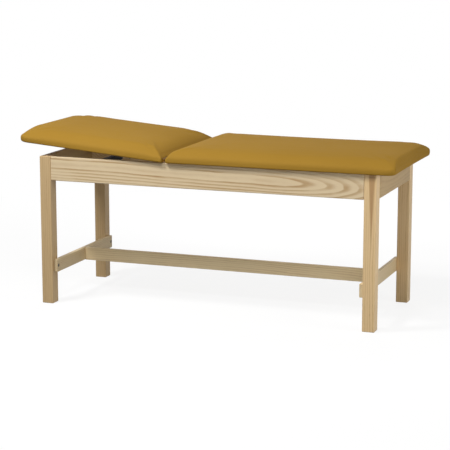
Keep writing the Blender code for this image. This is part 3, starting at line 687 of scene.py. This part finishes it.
def swell(piece, held):
    """Blow the cover up a little as cloth, with the held points fixed and a cap on each move."""
    group = piece.vertex_groups.new(name=HELD)
    for index, weight in enumerate(held):
        if weight > 0:
            group.add([index], float(weight), "REPLACE")
    start = mesh_points(piece.data)
    cloth = piece.modifiers.new("cloth", "CLOTH")
    for key, value in CLOTH.items():
        setattr(cloth.settings, key, value)
    cloth.settings.effector_weights.gravity = 0
    cloth.collision_settings.use_collision = False
    cloth.point_cache.frame_start = 1
    cloth.point_cache.frame_end = SWELL_FRAMES
    for step in range(1, SWELL_FRAMES + 1):
        SCENE.frame_set(step)
    swollen = mesh_points(evaluated_mesh(piece))
    piece.modifiers.remove(cloth)
    SCENE.frame_set(1)
    moved = swollen - start
    reach = np.maximum(np.linalg.norm(moved, axis=1), LEAST_MOVE)
    capped = SWELL_CAP * np.tanh(reach / SWELL_CAP) / reach
    set_points(piece.data, start + moved * capped[:, None])
    piece.vertex_groups.clear()


def drawn_out(points, cut):
    """The swollen cover, drawn out along and across to the reach that it was cut to."""
    drawn = points.copy()
    for axis, middle in ((0, HINGE_POINT.x), (1, 0.0)):
        off = points[:, axis] - middle
        drawn[:, axis] = middle + off * np.abs(cut[:, axis] - middle).max() / np.abs(off).max()
    return drawn


def drop_slivers(piece):
    """Take out the slivers and flaps that a cut leaves in a closed mesh."""
    solid = bmesh.new()
    solid.from_mesh(piece.data)
    bmesh.ops.triangulate(solid, faces=[face for face in solid.faces if len(face.verts) > 4])
    bmesh.ops.dissolve_degenerate(solid, dist=SLIVER, edges=solid.edges)
    twins = {}
    for face in solid.faces:
        twins.setdefault(frozenset(face.verts), []).append(face)
    flaps = {face for faces in twins.values() if len(faces) > 1 for face in faces}
    flaps.update(face for edge in solid.edges if edge.is_boundary for face in edge.link_faces)
    bmesh.ops.delete(solid, geom=list(flaps), context="FACES")
    solid.to_mesh(piece.data)
    solid.free()


def board_cutter(board, untilt):
    """The board's space with its running gap, open at the bottom."""
    mesh, solid = flat_solid(board, untilt)
    solid.normal_update()
    floor = min(point.co.z for point in solid.verts)
    for point in solid.verts:
        point.co += point.normal * RECESS_GAP
        if point.co.z < floor + CUTTER_FLOOR:
            point.co.z -= CUTTER_DROP
    solid.to_mesh(mesh)
    solid.free()
    return linked(board + "_cutter", mesh)


def swell_cover(piece, eased):
    """Shrink the cover a little and let it swell to the shape that it was eased to."""
    floor = eased[:, 2].min()
    points = eased.copy()
    normals = np.empty(len(points) * 3, np.float32)
    piece.data.vertex_normals.foreach_get("vector", normals)
    free = smooth(points[:, 2] - floor, 0.0, 3 * HELD_HEIGHT)
    points -= normals.reshape(-1, 3) * (SHRINK * free)[:, None]
    set_points(piece.data, points)
    swell(piece, 1 - smooth(points[:, 2] - floor, 0.2 * HELD_HEIGHT, HELD_HEIGHT))
    set_points(piece.data, drawn_out(mesh_points(piece.data), eased))


def make_cushion(name, node, board, body, tilt, material, corner_drop, waterfall):
    """A padded top section: a cover remeshed from its solid, swollen, and cut for its board."""
    lay_flat = turned_flat(tilt)
    piece = linked(name, pad_solid(node, lay_flat))
    shape = surface_tree(piece.data)
    remesh = piece.modifiers.new("cover", "REMESH")
    remesh.mode = "VOXEL"
    remesh.voxel_size = VOXEL
    settle(piece)
    relax = piece.modifiers.new("relax", "SMOOTH")
    relax.factor = RELAX_FACTOR
    relax.iterations = RELAX_STEPS
    settle(piece)
    points = np.array([shape.find_nearest(point)[0] for point in mesh_points(piece.data)])
    eased = ease_pad(points, corner_drop, waterfall)
    set_points(piece.data, eased)
    swell_cover(piece, eased)
    finer = piece.modifiers.new("finer", "SUBSURF")
    finer.levels = 1
    finer.render_levels = 1
    settle(piece)
    cutter = board_cutter(board, lay_flat)
    cut_by(piece, cutter)
    settle(piece)
    drop_slivers(piece)
    bpy.data.objects.remove(cutter)
    piece.data.transform(lay_flat.inverted())
    piece.data.shade_smooth()
    piece.data.set_sharp_from_angle(angle=PAD_CREASE)
    piece.data.materials.clear()
    piece.data.materials.append(material)
    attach(piece, body)
    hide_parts(node)


def add_piece(name, solid, material, body):
    """A new piece of the table, made from a bmesh."""
    piece = linked(name, mesh_of(name, solid))
    piece.data.materials.append(material)
    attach(piece, body)


def screw_dome():
    """A pan head on the origin, up along Z."""
    solid = bmesh.new()
    rings = []
    for across, up in SCREW_DOME:
        ring = []
        for step in range(SCREW_STEPS if across else 1):
            turn = 2 * pi * step / SCREW_STEPS
            x, y = across * cos(turn), across * sin(turn)
            place = (x * SCREW_RADIUS, y * SCREW_RADIUS, up * SCREW_HEIGHT)
            ring.append(solid.verts.new(place))
        rings.append(ring)
    for upper, lower in zip(rings, rings[1:]):
        for step in range(SCREW_STEPS):
            after = (step + 1) % SCREW_STEPS
            corners = [upper[step % len(upper)], lower[step % len(lower)]]
            corners += [lower[after % len(lower)], upper[after % len(upper)]]
            solid.faces.new(list(dict.fromkeys(corners)))
    bmesh.ops.recalc_face_normals(solid, faces=solid.faces)
    return solid


def screw_mesh():
    """A pan head with a crossed recess."""
    head = linked("screw_head", mesh_of("screw_head", screw_dome()))
    bars = []
    for size in ((CROSS_LENGTH, CROSS_WIDTH), (CROSS_WIDTH, CROSS_LENGTH)):
        solid = bmesh.new()
        bmesh.ops.create_cube(solid, size=1.0)
        bmesh.ops.scale(solid, vec=(*size, 2 * CROSS_DEPTH), verts=solid.verts)
        bmesh.ops.translate(solid, vec=(0, 0, SCREW_HEIGHT), verts=solid.verts)
        bars.append(linked("screw_slot", mesh_of("screw_slot", solid)))
        cut_by(head, bars[-1])
    settle(head)
    mesh = head.data
    for helper in bars + [head]:
        bpy.data.objects.remove(helper)
    mesh.shade_smooth()
    mesh.set_sharp_from_angle(angle=SCREW_CREASE)
    return mesh


def make_screws(name, head, seats, material, body):
    """Screw heads on their seats. Each seat is a place and the way its head faces."""
    group = bmesh.new()
    for count, (place, facing) in enumerate(seats):
        copy = head.copy()
        upright = Vector(facing).to_track_quat("Z", "Y").to_matrix().to_4x4()
        turn = Matrix.Rotation(SCREW_TURN * count, 4, "Z")
        copy.transform(Matrix.Translation(place) @ upright @ turn)
        group.from_mesh(copy)
        bpy.data.meshes.remove(copy)
    add_piece(name, group, material, body)


def angle_seats():
    """A seat on each flange of the angles that hold the main board on the side rails."""
    seats = []
    for side, across in SIDES:
        for place in ("hinge", "foot"):
            low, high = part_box(f"{side}_{place}_top_bracket")
            reach = FLANGE_SHARE * (high.z - low.z)
            x = (low.x + high.x) / 2
            wall = high.y if across > 0 else low.y
            seats.append(((x, wall - across * ANGLE_PLATE, high.z - reach), (0, -across, 0)))
            seats.append(((x, wall - across * reach, high.z - ANGLE_PLATE), (0, 0, -1)))
    return seats


def bail_seats():
    """Two seats on the plate of each of the bail's brackets, under the head board."""
    flat = turned_flat(REST_TILT)
    lift = flat.inverted()
    facing = lift.to_3x3() @ Vector((0, 0, -1))
    seats = []
    for side, across in SIDES:
        points = [flat @ v.co for v in NODES[f"{side}_bail_bracket"].data.vertices]
        inner = min(across * point.y for point in points)
        y = across * (inner + BAIL_SCREW_INSET)
        z = max(point.z for point in points) - BAIL_PLATE
        middle = sum(min_max(points, 0)) / 2
        for step in (-1, 1):
            seats.append((lift @ Vector((middle + step * BAIL_SCREW_SPREAD, y, z)), facing))
    return seats


def make_hem(name, board, body, tilt, material):
    """The cover's edge, turned under a board: a thin frame whose inner edge was cut by hand."""
    flat = turned_flat(tilt)
    points = [flat @ v.co for v in NODES[board].data.vertices]
    low_x, high_x = min_max(points, 0)
    low_y, high_y = min_max(points, 1)
    floor = min_max(points, 2)[0]
    draw = np.random.default_rng(HEM_SEED)
    solid = bmesh.new()
    places = ((low_x, low_y), (high_x, low_y), (high_x, high_y), (low_x, high_y))
    corners = [Vector(place) for place in places]
    loops = [[], [], [], []]
    for start, stop in zip(corners, corners[1:] + corners[:1]):
        along = stop - start
        count = round(along.length / HEM_STEP)
        for step in range(count):
            edge = start + along * (step / count)
            waver = draw.uniform(-HEM_WAVER, HEM_WAVER)
            corner_gap = min(step, count - step) * along.length / count
            reach = HEM_REACH + (waver if corner_gap > HEM_REACH + HEM_WAVER else 0.0)
            x = min(max(edge.x, low_x + reach), high_x - reach)
            y = min(max(edge.y, low_y + reach), high_y - reach)
            inner = Vector((x, y))
            section = ((edge, HEM_TOP), (inner, HEM_TOP), (inner, HEM_BOTTOM), (edge, HEM_BOTTOM))
            for loop, (place, depth) in zip(loops, section):
                loop.append(solid.verts.new((place.x, place.y, floor - depth)))
    for first, second in zip(loops, loops[1:] + loops[:1]):
        for index in range(len(first)):
            after = (index + 1) % len(first)
            solid.faces.new((first[index], first[after], second[after], second[index]))
    bmesh.ops.remove_doubles(solid, verts=solid.verts, dist=WELD)
    bmesh.ops.recalc_face_normals(solid, faces=solid.faces)
    solid.transform(flat.inverted())
    add_piece(name, solid, material, body)


def make_camera():
    """The photograph's view."""
    data = bpy.data.cameras.new("camera")
    data.sensor_width = SENSOR_MM
    data.lens = FOCAL_PIXELS / IMAGE_PIXELS * SENSOR_MM
    camera = linked("camera", data)
    camera.location = CAMERA_PLACE
    camera.rotation_euler = (pi / 2 + CAMERA_PITCH, 0, CAMERA_YAW)
    SCENE.camera = camera


def add_lamp(name, azimuth, elevation, distance, size, level, glossy=True):
    """A soft white panel.

    Its azimuth runs in degrees from the front to the foot end, and its level is what a white face
    turned to it gets of full white.
    """
    data = bpy.data.lights.new(name, "AREA")
    data.shape = "RECTANGLE"
    data.size, data.size_y = size
    data.energy = level * pi**2 * distance**2
    lamp = linked(name, data)
    lamp.visible_glossy = glossy
    round_by, up_by = radians(azimuth), radians(elevation)
    away = Vector((sin(round_by) * cos(up_by), -cos(round_by) * cos(up_by), sin(up_by)))
    lamp.location = LIT_POINT + away * distance
    lamp.rotation_euler = away.to_track_quat("Z", "Y").to_euler()


def seen_share(tree):
    """1 for rays that show the background: from the camera, in reflections or through glass."""
    path = tree.nodes.new("ShaderNodeLightPath")
    total = path.outputs["Is Camera Ray"]
    for name in ("Is Glossy Ray", "Is Transmission Ray"):
        larger = tree.nodes.new("ShaderNodeMath")
        larger.operation = "MAXIMUM"
        tree.links.new(total, larger.inputs[0])
        tree.links.new(path.outputs[name], larger.inputs[1])
        total = larger.outputs[0]
    return total


def make_floor():
    """A plain pale floor that keeps a soft shadow near the table and runs out into white."""
    plane = bmesh.new()
    bmesh.ops.create_grid(plane, x_segments=1, y_segments=1, size=FLOOR_SIZE / 2)
    floor = linked("floor", mesh_of("floor", plane))
    graph = Graph("pale_floor")
    tree = graph.tree
    tree.nodes.remove(graph.shader)

    def diffuse(level):
        made = graph.node("BsdfDiffuse")
        made.inputs["Color"].default_value = (level, level, level, 1)
        return made.outputs[0]

    def emission(level):
        made = graph.node("Emission")
        made.inputs["Strength"].default_value = level
        return made.outputs[0]

    near = graph.fill(graph.node("AddShader"), diffuse(FLOOR_GREY), emission(FLOOR_GLOW))
    reach = graph.node("VectorMath", operation="LENGTH")
    graph.put(reach.inputs[0], graph.place())
    far = graph.remap(reach.outputs["Value"], FLOOR_NEAR, FLOOR_FAR)
    shown = graph.fill(graph.node("MixShader"), far, near, emission(1.0))
    either = graph.node("MixShader")
    either = graph.fill(either, seen_share(tree), diffuse(FLOOR_BOUNCE), shown)
    graph.put(tree.nodes["Material Output"].inputs["Surface"], either)
    floor.data.materials.append(graph.material)


def make_world():
    """Even white light from all round, with a white background."""
    world = bpy.data.worlds.new("studio")
    SCENE.world = world
    world.use_nodes = True
    tree = world.node_tree
    tree.nodes.clear()
    light = tree.nodes.new("ShaderNodeBackground")
    light.inputs["Strength"].default_value = WORLD_LEVEL
    white = tree.nodes.new("ShaderNodeBackground")
    for node in (light, white):
        node.inputs["Color"].default_value = (1, 1, 1, 1)
    either = tree.nodes.new("ShaderNodeMixShader")
    tree.links.new(seen_share(tree), either.inputs[0])
    tree.links.new(light.outputs[0], either.inputs[1])
    tree.links.new(white.outputs[0], either.inputs[2])
    output = tree.nodes.new("ShaderNodeOutputWorld")
    tree.links.new(either.outputs[0], output.inputs[0])


SCENE.view_settings.view_transform = "Standard"
make_camera()
make_world()
make_floor()
add_lamp("key", azimuth=-42, elevation=51, distance=4.0, size=(0.8, 0.5), level=0.71)
add_lamp("front", azimuth=8, elevation=47, distance=4.0, size=(0.8, 0.5), level=0.31)
add_lamp("low", azimuth=24, elevation=10, distance=3.4, size=(2.2, 1.0), level=0.07)
add_lamp("side", azimuth=78, elevation=6, distance=2.8, size=(1.2, 1.0), level=0.26)
add_lamp("back", azimuth=187, elevation=6, distance=3.4, size=(2.4, 1.0), level=0.60, glossy=False)

dress_timbers()
steels = dress_fittings()
vinyl = vinyl_material()
screw = screw_mesh()
zinc, black = steels["zinc_steel"], steels["black_steel"]
make_screws("top_bracket_screws", screw, angle_seats(), zinc, "frame")
make_screws("bail_bracket_screws", screw, bail_seats(), black, "backrest")
make_cushion(
    "main_pad", "main_cushion", "main_board", "frame", 0.0, vinyl, corner_drop=0.008, waterfall=0.0
)
make_cushion(
    "head_pad", "head_cushion", "head_board", "backrest", REST_TILT, vinyl,
    corner_drop=0.013, waterfall=0.020,
)
make_hem("main_hem", "main_board", "frame", 0.0, vinyl)
make_hem("head_hem", "head_board", "backrest", REST_TILT, vinyl)
